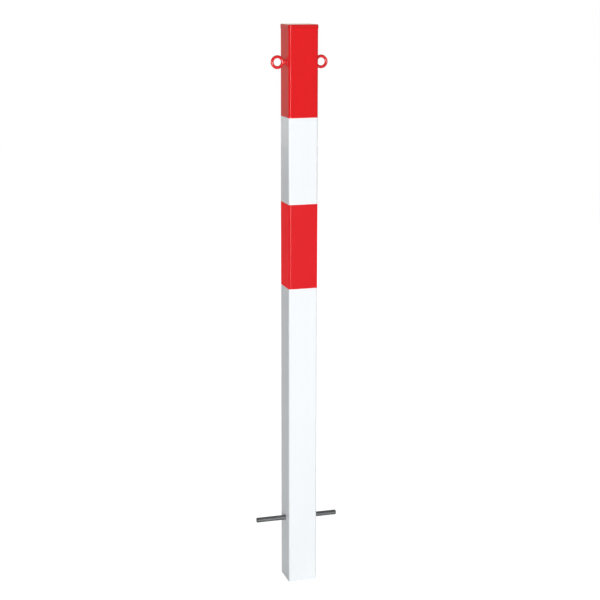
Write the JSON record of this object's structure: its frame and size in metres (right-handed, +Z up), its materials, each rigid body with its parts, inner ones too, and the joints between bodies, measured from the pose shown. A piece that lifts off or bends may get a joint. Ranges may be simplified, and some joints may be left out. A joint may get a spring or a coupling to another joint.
{
  "type": "barrier post",
  "caption": "Square steel barrier post in red and white bands, with a moulded cap, welded chain eyes at the head and a loose anchor bar through its foot.",
  "frame": {"origin": "middle of the tube's cut foot, on the axis of the tube", "axes": "+Z up the post, X along the chain eyes and the anchor bar, -Y out of the face that the picture shows from the front"},
  "size_m": [0.2022, 0.0716, 1.35],
  "materials": {
    "coated_tube": "white coat, red on the head, semi-gloss",
    "red_moulding": "satin moulded plastic",
    "red_film": "smooth self-adhesive film",
    "red_coat": "glossy red coat",
    "bare_steel": "mill finish"
  },
  "bodies": {
    "root": {"post_tube": "coated_tube", "end_cap": "red_moulding", "film_band": "red_film", "chain_eye_left": "red_coat", "chain_eye_right": "red_coat", "anchor_bar": "bare_steel"}
  },
  "joints": []
}
